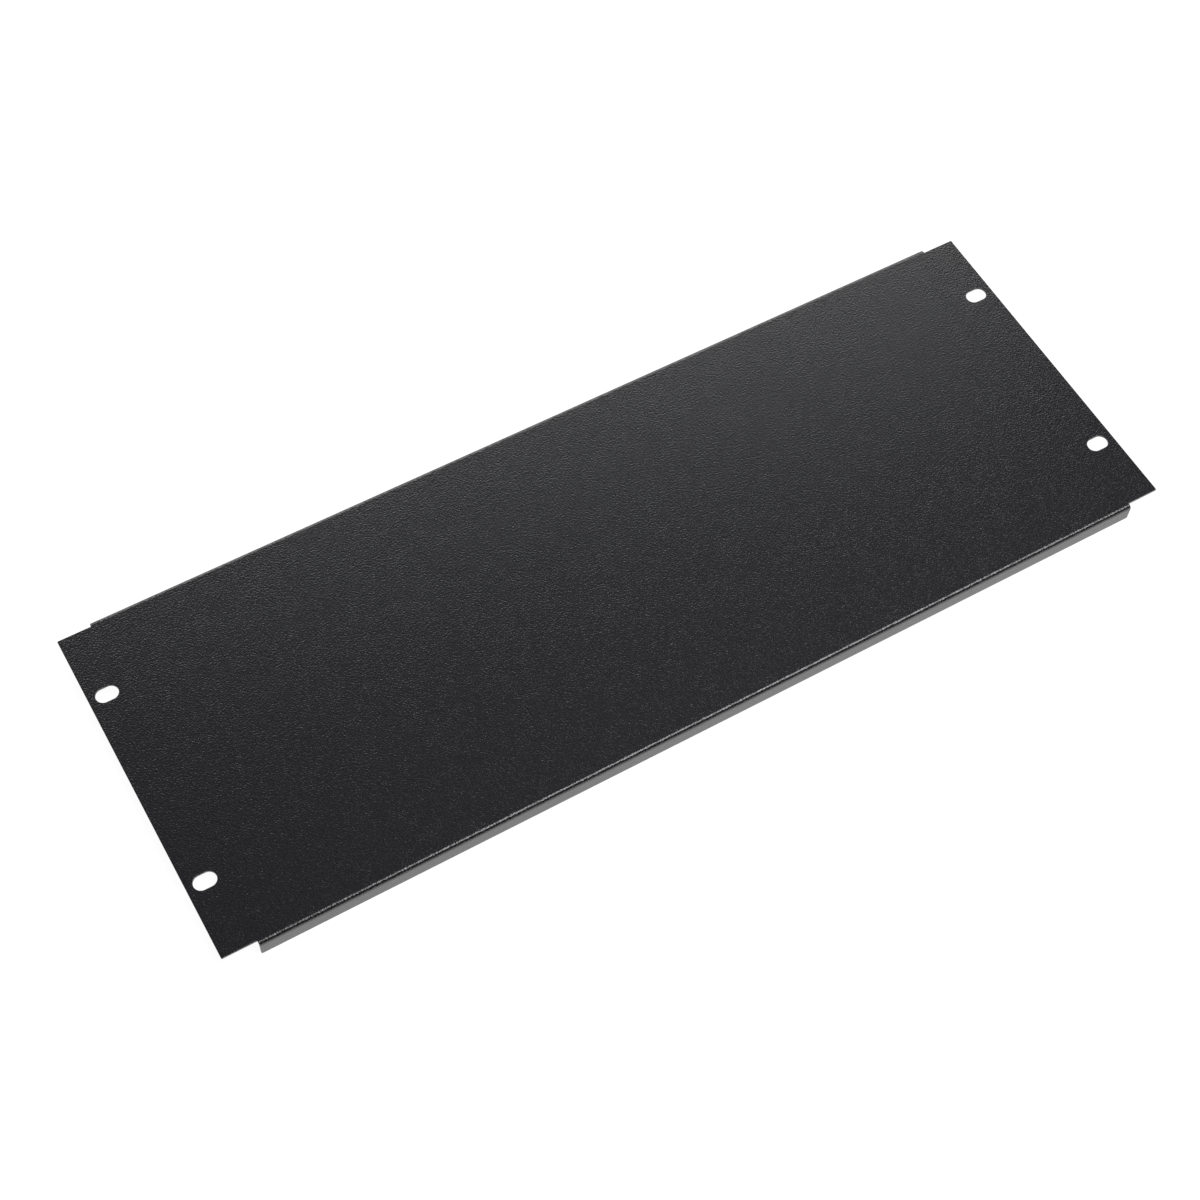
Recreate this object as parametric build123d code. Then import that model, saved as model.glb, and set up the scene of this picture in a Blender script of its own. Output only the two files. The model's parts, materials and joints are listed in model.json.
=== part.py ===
"""Flanged blanking panel for a 19-inch rack, four rack units high, folded from one steel sheet.

Frame: +X runs along the width, +Y runs up the rack and +Z points out of the front face.
The panel lies face up, and the free edges of its two returns stand on Z = 0.
All sizes are in millimetres.
"""

import os

from build123d import *

# Rack space that the panel closes
rack_unit_height = 44.45
rack_units = 4
height_clearance = 1.8

# Sheet and folds
panel_width = 482.6
ear_length = 16.3
return_depth = 9.5
sheet_thickness = 1.2
inner_bend_radius = 0.9

# Slots for the rack screws
slot_length = 10.6
slot_width = 7.3
slot_from_side = 8.75
slot_from_space_end = 38.1

# Corners of the cut sheet
ear_corner_radius = 0.35
return_corner_radius = 0.8
notch_radius = 0.2
notch_land = 0.05

# Coated edges, rounded on the front and only broken at the back
front_edge_radius = 0.25
back_edge_break = 0.12

# Sizes that follow from the ones above
rack_space = rack_units * rack_unit_height
panel_height = rack_space - height_clearance
return_length = panel_width - 2 * ear_length
outer_bend_radius = inner_bend_radius + sheet_thickness
flat_height = panel_height - 2 * outer_bend_radius
ear_height = flat_height - 2 * (notch_radius + notch_land)
back_level = return_depth - sheet_thickness
slot_spacing_x = panel_width - 2 * slot_from_side
slot_spacing_y = rack_space - 2 * slot_from_space_end


def flat_plate():
    """Flat sheet between the two bends, with an ear at each end that is notched back beside the returns."""
    outline = Rectangle(return_length, flat_height) + Rectangle(panel_width, ear_height)
    columns = outline.vertices().group_by(Axis.X)
    notch_corners = [corner for column in columns[1:-1] for corner in column.sort_by(Axis.Y)[1:-1]]
    outline = fillet(notch_corners, notch_radius)
    columns = outline.vertices().group_by(Axis.X)
    outline = fillet(columns[0] + columns[-1], ear_corner_radius)
    return extrude(Plane.XY.offset(back_level) * outline, sheet_thickness)


def folded_return():
    """Bend and return along the upper edge of the plate, over the length between the ears."""
    bend_centre = (flat_height / 2, return_depth - outer_bend_radius)
    outer_bend = CenterArc(bend_centre, outer_bend_radius, 0, 90)
    inner_bend = CenterArc(bend_centre, inner_bend_radius, 0, 90)
    outer_foot = (panel_height / 2, 0)
    inner_foot = (panel_height / 2 - sheet_thickness, 0)
    bend_start = Line(outer_bend @ 1, inner_bend @ 1)
    wall = Polyline(outer_bend @ 0, outer_foot, inner_foot, inner_bend @ 0)
    section = make_face([outer_bend, bend_start, inner_bend, wall])
    sheet = extrude(Plane.YZ * section, return_length / 2, both=True)
    free_corners = sheet.edges().filter_by(Axis.Y).group_by(Axis.Z)[0]
    return fillet(free_corners, return_corner_radius)


def rack_slots():
    """Four slots that run along the width, so that the screws can find the holes of the rack rails."""
    slot = SlotOverall(slot_length, slot_width)
    slots = Sketch() + GridLocations(slot_spacing_x, slot_spacing_y, 2, 2) * slot
    return extrude(slots, return_depth)


def cut_edges(panel, outward):
    """Edges where the plate's face on the outward side meets the cut faces. Each leads on round its smooth rim."""
    faces = panel.faces()
    facing = [face for face in faces.filter_by(Axis.Z) if face.normal_at().dot(outward) > 0]
    plate_face = ShapeList(facing).sort_by(SortBy.AREA)[-1]
    bend_lines = [edge for face in faces.filter_by(GeomType.CYLINDER) for edge in face.edges().filter_by(Axis.X)]
    return [edge for edge in plate_face.edges() if edge not in bend_lines]


front = Vector(0, 0, 1)
upper_return = folded_return()
panel = flat_plate() + upper_return + mirror(upper_return, Plane.XZ) - rack_slots()
panel = fillet(cut_edges(panel, front), front_edge_radius)
panel = chamfer(cut_edges(panel, -front), back_edge_break)

os.makedirs("parts", exist_ok=True)
export_step(panel, "parts/blanking_panel.step")
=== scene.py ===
"""Look of the flanged rack blanking panel: folded sheet, black grained powder coat, white studio.

Everything is in metres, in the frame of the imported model: +X runs along the panel's width, +Y runs up
the rack and +Z points out of the front face. The panel lies face up on the free edges of its returns.
"""

import json
import logging
from collections.abc import Callable
from dataclasses import dataclass
from enum import Enum
from math import cos, pi, radians, sin

import bmesh
import bpy
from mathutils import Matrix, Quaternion, Vector


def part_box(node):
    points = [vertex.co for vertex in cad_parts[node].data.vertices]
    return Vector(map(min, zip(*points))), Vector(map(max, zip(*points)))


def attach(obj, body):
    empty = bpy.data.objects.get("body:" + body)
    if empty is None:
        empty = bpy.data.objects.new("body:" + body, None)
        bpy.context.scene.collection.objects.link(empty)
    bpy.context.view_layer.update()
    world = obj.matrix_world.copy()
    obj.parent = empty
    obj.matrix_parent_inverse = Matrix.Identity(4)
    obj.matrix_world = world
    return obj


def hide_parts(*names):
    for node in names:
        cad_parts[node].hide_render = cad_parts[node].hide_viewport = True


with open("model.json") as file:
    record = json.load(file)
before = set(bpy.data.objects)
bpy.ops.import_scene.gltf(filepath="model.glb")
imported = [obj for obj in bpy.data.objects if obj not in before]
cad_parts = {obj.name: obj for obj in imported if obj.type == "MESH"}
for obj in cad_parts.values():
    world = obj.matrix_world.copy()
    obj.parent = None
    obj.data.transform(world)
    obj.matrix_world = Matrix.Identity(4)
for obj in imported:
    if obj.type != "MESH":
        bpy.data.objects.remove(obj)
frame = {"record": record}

log = logging.getLogger("blanking_panel_scene")

PANEL_NODE = "blanking_panel"
MM = 0.001
TOUCH = 1e-6
WHITE = (1.0, 1.0, 1.0, 1.0)


class Edge(Enum):
    """The two long edges of the panel that are folded back, with the sign of their side along Y."""

    UPPER = 1
    LOWER = -1


def pick(piece: bpy.types.Object) -> None:
    """Make a piece the active object and the only selected one.

    Args:
        piece: The mesh object to pick.
    """
    bpy.ops.object.select_all(action="DESELECT")
    piece.select_set(True)
    bpy.context.view_layer.objects.active = piece


def start_edit(piece: bpy.types.Object) -> None:
    """Open a piece in edit mode with nothing on it selected.

    Args:
        piece: The mesh object to edit.
    """
    pick(piece)
    bpy.ops.object.mode_set(mode="EDIT")
    bpy.ops.mesh.select_all(action="DESELECT")


def end_edit() -> None:
    """Go back to object mode."""
    bpy.ops.object.mode_set(mode="OBJECT")


def select_points(piece: bpy.types.Object, chosen: Callable[[Vector], bool]) -> None:
    """Select, in edit mode, the points that pass a test, with the edges and faces between them.

    Args:
        piece: The mesh object that is open in edit mode.
        chosen: Says for a point's place whether it is selected.
    """
    bpy.ops.mesh.select_mode(type="VERT")
    bpy.ops.mesh.select_all(action="DESELECT")
    mesh = bmesh.from_edit_mesh(piece.data)
    for point in mesh.verts:
        point.select_set(chosen(point.co))
    mesh.select_flush_mode()
    bmesh.update_edit_mesh(piece.data)


def apply_modifier(piece: bpy.types.Object, kind: str, **settings: object) -> None:
    """Add a modifier to a piece, set it up and apply it.

    Args:
        piece: The mesh object to finish.
        kind: Blender's name for the kind of modifier.
        **settings: The modifier's own settings.
    """
    pick(piece)
    modifier = piece.modifiers.new(kind.lower(), kind)
    for name, value in settings.items():
        setattr(modifier, name, value)
    bpy.ops.object.modifier_apply(modifier=modifier.name)


@dataclass(frozen=True)
class PowderCoat:
    """Black powder coat with a fine leather grain and a satin sheen."""

    # painted shade: the grain's valleys take a darker base colour than its crests, as shade painted into
    # the creases; both colours carry the coat's faint blue tint.
    valley_shade_colour: tuple[float, float, float, float] = (0.0018, 0.0018, 0.0052, 1.0)
    crest_colour: tuple[float, float, float, float] = (0.0110, 0.0110, 0.0164, 1.0)
    valley_tone: float = 0.38
    crest_tone: float = 0.62
    valley_roughness: float = 0.30
    crest_roughness: float = 0.277
    index: float = 1.95
    grain_size: float = 0.74 * MM
    grain_height: float = 0.126 * MM
    grain_detail: float = 0.0
    grain_wander: float = 0.3
    patch_size: float = 7.0 * MM
    patch_detail: float = 1.0
    patch_wander: float = 0.0
    patch_low: float = 0.9
    patch_high: float = 1.05
    noise_low: float = 0.3
    noise_middle: float = 0.5
    noise_high: float = 0.7

    def build(self) -> bpy.types.Material:
        """Make the coat's material on object coordinates.

        Returns:
            The finished material.
        """
        material = bpy.data.materials.new("black_grained_powder_coat")
        material.use_nodes = True
        material.node_tree.nodes["Principled BSDF"].inputs["IOR"].default_value = self.index
        grain = self.noise(material, self.grain_size, self.grain_detail, self.grain_wander)
        patch = self.noise(material, self.patch_size, self.patch_detail, self.patch_wander)
        self.raise_grain(material, grain, patch)
        self.paint_grain_shade_and_gloss(material, grain)
        return material

    def noise(
        self, material: bpy.types.Material, size: float, detail: float, wander: float
    ) -> bpy.types.NodeSocket:
        """Lay a noise over the sheet.

        Args:
            material: The material that holds the nodes.
            size: The size of the noise's marks.
            detail: How much finer noise is added.
            wander: How far the marks are bent out of shape.

        Returns:
            The noise's output.
        """
        nodes, links = material.node_tree.nodes, material.node_tree.links
        place = nodes.new("ShaderNodeTexCoord")
        marks = nodes.new("ShaderNodeTexNoise")
        marks.inputs["Scale"].default_value = 1 / size
        marks.inputs["Detail"].default_value = detail
        marks.inputs["Distortion"].default_value = wander
        links.new(place.outputs["Object"], marks.inputs["Vector"])
        return marks.outputs["Fac"]

    def raise_grain(
        self, material: bpy.types.Material, grain: bpy.types.NodeSocket, patch: bpy.types.NodeSocket
    ) -> None:
        """Raise the grain as bumps, a little deeper in some patches than in others.

        Args:
            material: The material that holds the nodes.
            grain: The output of the grain's noise.
            patch: The output of the patches' noise.
        """
        nodes, links = material.node_tree.nodes, material.node_tree.links
        level = nodes.new("ShaderNodeMath")
        level.operation = "SUBTRACT"
        level.inputs[1].default_value = self.noise_middle
        links.new(grain, level.inputs[0])
        height = nodes.new("ShaderNodeMath")
        height.operation = "MULTIPLY"
        links.new(level.outputs["Value"], height.inputs[0])
        links.new(self.spread(material, patch, self.patch_low, self.patch_high), height.inputs[1])
        bump = nodes.new("ShaderNodeBump")
        bump.inputs["Strength"].default_value = 1.0
        bump.inputs["Distance"].default_value = self.grain_height
        links.new(height.outputs["Value"], bump.inputs["Height"])
        links.new(bump.outputs["Normal"], nodes["Principled BSDF"].inputs["Normal"])

    def paint_grain_shade_and_gloss(self, material: bpy.types.Material, grain: bpy.types.NodeSocket) -> None:
        """Paint shade into the grain's valleys with a darker base colour than its crests, and make the
        crests glossier than the valleys.

        Args:
            material: The material that holds the nodes.
            grain: The output of the grain's noise.
        """
        nodes, links = material.node_tree.nodes, material.node_tree.links
        shader = nodes["Principled BSDF"]
        sheen = self.spread(material, grain, self.valley_roughness, self.crest_roughness)
        links.new(sheen, shader.inputs["Roughness"])
        # painted shade: this ramp darkens the base colour in the grain's valleys, as shade painted into the
        # creases.
        crease_shade_ramp = nodes.new("ShaderNodeValToRGB")
        valley, crest = crease_shade_ramp.color_ramp.elements
        valley.position = self.valley_tone
        valley.color = self.valley_shade_colour
        crest.position = self.crest_tone
        crest.color = self.crest_colour
        links.new(grain, crease_shade_ramp.inputs["Fac"])
        links.new(crease_shade_ramp.outputs["Color"], shader.inputs["Base Color"])

    def spread(
        self, material: bpy.types.Material, noise: bpy.types.NodeSocket, low: float, high: float
    ) -> bpy.types.NodeSocket:
        """Spread the usual range of a noise between two values.

        Args:
            material: The material that holds the nodes.
            noise: The noise's output.
            low: The value where the noise is low.
            high: The value where the noise is high.

        Returns:
            The output with the spread value.
        """
        node = material.node_tree.nodes.new("ShaderNodeMapRange")
        node.inputs["From Min"].default_value = self.noise_low
        node.inputs["From Max"].default_value = self.noise_high
        node.inputs["To Min"].default_value = low
        node.inputs["To Max"].default_value = high
        material.node_tree.links.new(noise, node.inputs["Value"])
        return node.outputs["Result"]


@dataclass
class BlankingPanel:
    """One folded sheet: a flat front, two slots in each ear and a return along each long edge."""

    width: float
    height: float
    depth: float
    slot_spacing_x: float
    slot_spacing_y: float
    slot_length: float
    slot_width: float
    ear_length: float = 16.3 * MM
    ear_relief: float = 0.25 * MM
    sheet_thickness: float = 1.2 * MM
    inner_bend_radius: float = 0.9 * MM
    ear_corner_radius: float = 0.35 * MM
    return_corner_radius: float = 0.8 * MM
    rim_radius: float = 0.25 * MM
    bend_steps: int = 20
    corner_steps: int = 6
    rim_steps: int = 4
    rim_angle: float = radians(50)
    smooth_angle: float = radians(40)
    flat_face_weight: int = 100
    slot_points: int = 96
    cutter_depths: int = 4

    @classmethod
    def from_frame(cls) -> "BlankingPanel":
        """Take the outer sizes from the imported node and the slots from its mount.

        Returns:
            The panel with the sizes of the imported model.
        """
        low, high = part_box(PANEL_NODE)
        slots = next(mount for mount in frame["record"]["mounts"] if mount["name"] == "rack_slots")["dims"]
        return cls(
            width=high.x - low.x,
            height=high.y - low.y,
            depth=high.z - low.z,
            slot_spacing_x=slots["spacing_x_mm"] * MM,
            slot_spacing_y=slots["spacing_y_mm"] * MM,
            slot_length=slots["slot_length_mm"] * MM,
            slot_width=2 * slots["hole_r_mm"] * MM,
        )

    @property
    def bend_radius(self) -> float:
        """Radius of the outer face of the bends."""
        return self.inner_bend_radius + self.sheet_thickness

    @property
    def bend_line(self) -> float:
        """Distance from the middle of the panel to the line where a bend starts."""
        return self.height / 2 - self.bend_radius

    @property
    def ear_line(self) -> float:
        """Distance from the middle of the panel to the long edge of an ear."""
        return self.bend_line - self.ear_relief

    @property
    def return_end(self) -> float:
        """Distance from the middle of the panel to the end of a return."""
        return self.width / 2 - self.ear_length

    def build(self, coat: PowderCoat) -> bpy.types.Object:
        """Model the panel, dress it and fix it to the frame.

        Args:
            coat: The finish of the whole sheet.

        Returns:
            The finished panel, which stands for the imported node.
        """
        panel = self.cut_blank()
        for edge in Edge:
            self.fold_return(panel, edge)
        self.round_corners(panel)
        self.thicken(panel)
        self.pierce_slots(panel)
        self.round_rims(panel)
        panel.data.materials.append(coat.build())
        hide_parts(PANEL_NODE)
        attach(panel, "root")
        return panel

    def cut_blank(self) -> bpy.types.Object:
        """Cut the flat front with its notched ears, as a skin at the level of the front face.

        Returns:
            The flat skin.
        """
        bpy.ops.object.select_all(action="DESELECT")
        bpy.ops.mesh.primitive_plane_add(size=1.0)
        blank = bpy.context.object
        blank.name = blank.data.name = "folded_panel"
        start_edit(blank)
        bpy.ops.mesh.select_all(action="SELECT")
        bpy.ops.transform.resize(value=(self.width, 2 * self.bend_line, 1.0))
        bpy.ops.transform.translate(value=(0.0, 0.0, self.depth))
        for side in (-1, 1):
            bpy.ops.mesh.select_all(action="SELECT")
            bpy.ops.mesh.bisect(plane_co=(side * self.return_end, 0, 0), plane_no=(1, 0, 0))
            bpy.ops.mesh.select_all(action="SELECT")
            bpy.ops.mesh.bisect(plane_co=(0, side * self.ear_line, 0), plane_no=(0, 1, 0))
        self.delete_notches(blank)
        end_edit()
        return blank

    def delete_notches(self, blank: bpy.types.Object) -> None:
        """Take away the four corner faces beside the ends of the returns.

        Args:
            blank: The flat skin, open in edit mode.
        """
        bpy.ops.mesh.select_mode(type="FACE")
        bpy.ops.mesh.select_all(action="DESELECT")
        mesh = bmesh.from_edit_mesh(blank.data)
        for face in mesh.faces:
            middle = face.calc_center_median()
            face.select_set(abs(middle.x) > self.return_end and abs(middle.y) > self.ear_line)
        bmesh.update_edit_mesh(blank.data)
        bpy.ops.mesh.delete(type="FACE")

    def fold_return(self, panel: bpy.types.Object, edge: Edge) -> None:
        """Turn one long edge round its bend and draw it down to the free edge of the return.

        Args:
            panel: The skin to fold.
            edge: The long edge that is folded.
        """
        start_edit(panel)
        side = edge.value
        select_points(panel, lambda place: abs(place.y - side * self.bend_line) < TOUCH)
        bpy.ops.mesh.select_mode(type="EDGE")
        bpy.ops.mesh.spin(
            steps=self.bend_steps,
            angle=side * pi / 2,
            center=(0.0, side * self.bend_line, self.depth - self.bend_radius),
            axis=(1.0, 0.0, 0.0),
        )
        drop = self.depth - self.bend_radius
        bpy.ops.mesh.extrude_region_move(TRANSFORM_OT_translate={"value": (0.0, 0.0, -drop)})
        end_edit()

    def round_corners(self, panel: bpy.types.Object) -> None:
        """Round the outer corners of the ears and the free corners of the returns, on the sheet's plane.

        Args:
            panel: The folded skin.
        """
        start_edit(panel)
        bpy.ops.mesh.select_all(action="SELECT")
        bpy.ops.mesh.remove_doubles(threshold=TOUCH)
        bpy.ops.mesh.normals_make_consistent(inside=False)
        half_width = self.width / 2

        def on_ear(place: Vector) -> bool:
            """Say whether a point is an outer corner of an ear."""
            return abs(abs(place.x) - half_width) < TOUCH and abs(abs(place.y) - self.ear_line) < TOUCH

        def on_return(place: Vector) -> bool:
            """Say whether a point is a free corner of a return."""
            return abs(abs(place.x) - self.return_end) < TOUCH and abs(place.z) < TOUCH

        for is_corner, radius in ((on_ear, self.ear_corner_radius), (on_return, self.return_corner_radius)):
            select_points(panel, is_corner)
            bpy.ops.mesh.bevel(offset=radius, segments=self.corner_steps, profile=0.5, affect="VERTICES")
        end_edit()

    def thicken(self, panel: bpy.types.Object) -> None:
        """Give the skin the sheet's thickness behind its outer face.

        Args:
            panel: The folded skin.
        """
        front = max(panel.data.polygons, key=lambda face: face.area)
        if front.normal.z < 0:
            start_edit(panel)
            bpy.ops.mesh.select_all(action="SELECT")
            bpy.ops.mesh.flip_normals()
            end_edit()
        apply_modifier(
            panel, "SOLIDIFY", thickness=self.sheet_thickness, offset=-1.0, use_even_offset=True
        )

    def slot_cutter(self) -> bpy.types.Object:
        """Make a cutter with the slots' outline, at the middle of the panel.

        Returns:
            The cutter, whose round ends are drawn apart along the panel's width.
        """
        bpy.ops.object.select_all(action="DESELECT")
        bpy.ops.mesh.primitive_cylinder_add(
            vertices=self.slot_points, radius=self.slot_width / 2, depth=self.cutter_depths * self.depth
        )
        cutter = bpy.context.object
        half_run = (self.slot_length - self.slot_width) / 2
        start_edit(cutter)
        for side in (-1, 1):
            select_points(cutter, lambda place: side * place.x > TOUCH)
            bpy.ops.transform.translate(value=(side * half_run, 0.0, 0.0))
        end_edit()
        return cutter

    def pierce_slots(self, panel: bpy.types.Object) -> None:
        """Cut the four slots through the ears.

        Args:
            panel: The folded sheet with its thickness.
        """
        cutter = self.slot_cutter()
        for side_x in (-1, 1):
            for side_y in (-1, 1):
                cutter.location = (side_x * self.slot_spacing_x / 2, side_y * self.slot_spacing_y / 2, 0.0)
                bpy.context.view_layer.update()
                apply_modifier(panel, "BOOLEAN", operation="DIFFERENCE", object=cutter, solver="EXACT")
        bpy.data.meshes.remove(cutter.data)

    def round_rims(self, panel: bpy.types.Object) -> None:
        """Round every cut edge a little, as the coat does, and shade the bends smoothly.

        Args:
            panel: The pierced sheet.
        """
        apply_modifier(
            panel,
            "BEVEL",
            width=self.rim_radius,
            segments=self.rim_steps,
            limit_method="ANGLE",
            angle_limit=self.rim_angle,
            use_clamp_overlap=False,
        )
        bpy.ops.object.shade_smooth_by_angle(angle=self.smooth_angle)
        apply_modifier(
            panel, "WEIGHTED_NORMAL", weight=self.flat_face_weight, keep_sharp=True, mode="FACE_AREA"
        )


@dataclass(frozen=True)
class SoftBox:
    """One soft box, hung in a direction seen from the middle of the panel and turned towards it."""

    name: str
    azimuth: float
    elevation: float
    distance: float
    width: float
    height: float
    turn: float
    power: float

    def hang(self) -> None:
        """Hang the lamp. Its azimuth runs from +Y towards +X."""
        away = Vector(
            (
                sin(self.azimuth) * cos(self.elevation),
                cos(self.azimuth) * cos(self.elevation),
                sin(self.elevation),
            )
        )
        data = bpy.data.lights.new(self.name, "AREA")
        data.shape = "RECTANGLE"
        data.size = self.width
        data.size_y = self.height
        data.energy = self.power
        lamp = bpy.data.objects.new(self.name, data)
        lamp.location = self.distance * away
        lamp.rotation_mode = "QUATERNION"
        lamp.rotation_quaternion = (-away).to_track_quat("-Z", "Y") @ Quaternion((0.0, 0.0, 1.0), self.turn)
        lamp.visible_camera = False
        bpy.context.scene.collection.objects.link(lamp)


@dataclass
class Studio:
    """White floor, a soft box overhead, a soft box behind and a dim room."""

    floor_size: float = 12.0
    floor_cells: int = 4
    floor_colour: tuple[float, float, float, float] = (0.85, 0.85, 0.85, 1.0)
    floor_roughness: float = 0.9
    shadow_colour: tuple[float, float, float, float] = (0.22, 0.22, 0.22, 1.0)
    floor_glow: float = 0.95
    shadow_reach: float = 0.7
    white_reach: float = 1.8
    room_level: float = 0.05
    soft_boxes: tuple[SoftBox, ...] = (
        SoftBox(
            name="soft_box_behind",
            azimuth=radians(16.6),
            elevation=radians(31.8),
            distance=2.2,
            width=2.6,
            height=1.05,
            turn=0.0,
            power=17.3,
        ),
        SoftBox(
            name="soft_box_overhead",
            azimuth=radians(135.0),
            elevation=radians(64.0),
            distance=1.7,
            width=1.25,
            height=0.57,
            turn=radians(-48.0),
            power=12.6,
        ),
    )

    def build(self) -> None:
        """Build the floor, the lamps and the room."""
        self.lay_floor()
        for soft_box in self.soft_boxes:
            soft_box.hang()
        self.dim_room()

    def lay_floor(self) -> None:
        """Lay a white floor that stays white in the picture and keeps the panel's shadow."""
        bpy.ops.object.select_all(action="DESELECT")
        bpy.ops.mesh.primitive_grid_add(
            x_subdivisions=self.floor_cells, y_subdivisions=self.floor_cells, size=self.floor_size
        )
        floor = bpy.context.object
        floor.name = floor.data.name = "studio_floor"
        floor.data.materials.append(self.floor_paint())

    def floor_paint(self) -> bpy.types.Material:
        """Make the floor's paint: pale under the lamps, white where it is looked at, clear from below.

        Returns:
            The floor's material.
        """
        paint = bpy.data.materials.new("white_studio_floor")
        paint.use_nodes = True
        nodes, links = paint.node_tree.nodes, paint.node_tree.links
        pale = nodes["Principled BSDF"]
        pale.inputs["Base Color"].default_value = self.floor_colour
        pale.inputs["Roughness"].default_value = self.floor_roughness
        pale.inputs["Specular IOR Level"].default_value = 0.0

        path = nodes.new("ShaderNodeLightPath")
        seen = nodes.new("ShaderNodeMath")
        seen.operation = "MAXIMUM"
        links.new(path.outputs["Is Camera Ray"], seen.inputs[0])
        links.new(path.outputs["Is Glossy Ray"], seen.inputs[1])
        top = nodes.new("ShaderNodeMixShader")
        links.new(seen.outputs["Value"], top.inputs["Fac"])
        links.new(pale.outputs["BSDF"], top.inputs[1])
        links.new(self.white_top(paint), top.inputs[2])

        side = nodes.new("ShaderNodeNewGeometry")
        clear = nodes.new("ShaderNodeBsdfTransparent")
        sheet = nodes.new("ShaderNodeMixShader")
        links.new(side.outputs["Backfacing"], sheet.inputs["Fac"])
        links.new(top.outputs["Shader"], sheet.inputs[1])
        links.new(clear.outputs["BSDF"], sheet.inputs[2])
        links.new(sheet.outputs["Shader"], nodes["Material Output"].inputs["Surface"])
        return paint

    def white_top(self, paint: bpy.types.Material) -> bpy.types.NodeSocket:
        """Make the floor's look: a glow that leaves room for the panel's shadow and is white further out.

        Args:
            paint: The floor's material.

        Returns:
            The output of the look's shader.
        """
        nodes, links = paint.node_tree.nodes, paint.node_tree.links
        place = nodes.new("ShaderNodeTexCoord")
        reach = nodes.new("ShaderNodeVectorMath")
        reach.operation = "LENGTH"
        links.new(place.outputs["Object"], reach.inputs[0])
        fade = nodes.new("ShaderNodeMapRange")
        fade.inputs["From Min"].default_value = self.shadow_reach
        fade.inputs["From Max"].default_value = self.white_reach
        fade.inputs["To Min"].default_value = self.floor_glow
        fade.inputs["To Max"].default_value = 1.0
        links.new(reach.outputs["Value"], fade.inputs["Value"])
        glow = nodes.new("ShaderNodeEmission")
        links.new(fade.outputs["Result"], glow.inputs["Strength"])
        shade = nodes.new("ShaderNodeBsdfDiffuse")
        shade.inputs["Color"].default_value = self.shadow_colour
        white = nodes.new("ShaderNodeAddShader")
        links.new(glow.outputs["Emission"], white.inputs[0])
        links.new(shade.outputs["BSDF"], white.inputs[1])
        return white.outputs["Shader"]

    def dim_room(self) -> None:
        """Fill the room with a little even light, with a white backdrop where it is looked at."""
        world = bpy.data.worlds.new("dim_room")
        world.use_nodes = True
        nodes, links = world.node_tree.nodes, world.node_tree.links
        room = nodes["Background"]
        room.inputs["Color"].default_value = WHITE
        room.inputs["Strength"].default_value = self.room_level
        backdrop = nodes.new("ShaderNodeBackground")
        backdrop.inputs["Color"].default_value = WHITE
        backdrop.inputs["Strength"].default_value = 1.0
        path = nodes.new("ShaderNodeLightPath")
        mix = nodes.new("ShaderNodeMixShader")
        links.new(path.outputs["Is Camera Ray"], mix.inputs["Fac"])
        links.new(room.outputs["Background"], mix.inputs[1])
        links.new(backdrop.outputs["Background"], mix.inputs[2])
        links.new(mix.outputs["Shader"], nodes["World Output"].inputs["Surface"])
        bpy.context.scene.world = world


@dataclass
class PhotoCamera:
    """The photograph's point of view, as angles and a distance round a point on the front face."""

    aim_x: float = -19.065 * MM
    aim_y: float = -11.947 * MM
    distance: float = 1016.73 * MM
    azimuth: float = radians(-33.0386)
    elevation: float = radians(59.1806)
    roll: float = radians(3.6531)
    lens: float = 67.317
    sensor: float = 36.0

    def build(self, front_level: float) -> None:
        """Set up the camera.

        Args:
            front_level: The height of the panel's front face above the floor.
        """
        back = Vector(
            (
                sin(self.azimuth) * cos(self.elevation),
                -cos(self.azimuth) * cos(self.elevation),
                sin(self.elevation),
            )
        )
        data = bpy.data.cameras.new("photo_camera")
        data.lens = self.lens
        data.sensor_width = self.sensor
        camera = bpy.data.objects.new("photo_camera", data)
        camera.location = Vector((self.aim_x, self.aim_y, front_level)) + self.distance * back
        camera.rotation_mode = "QUATERNION"
        camera.rotation_quaternion = back.to_track_quat("Z", "Y") @ Quaternion((0.0, 0.0, 1.0), self.roll)
        bpy.context.scene.collection.objects.link(camera)
        bpy.context.scene.camera = camera


def main() -> None:
    """Build the panel, the studio and the camera, and report each piece."""
    logging.basicConfig(level=logging.INFO, format="%(name)s: %(message)s")
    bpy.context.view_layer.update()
    bpy.context.scene.view_settings.view_transform = "Standard"

    sizes = BlankingPanel.from_frame()
    panel = sizes.build(PowderCoat())
    log.info("%s has %d faces and replaces %s", panel.name, len(panel.data.polygons), PANEL_NODE)

    Studio().build()
    PhotoCamera().build(sizes.depth)
    log.info("the studio and the camera are set up")


if __name__ == "__main__":
    main()
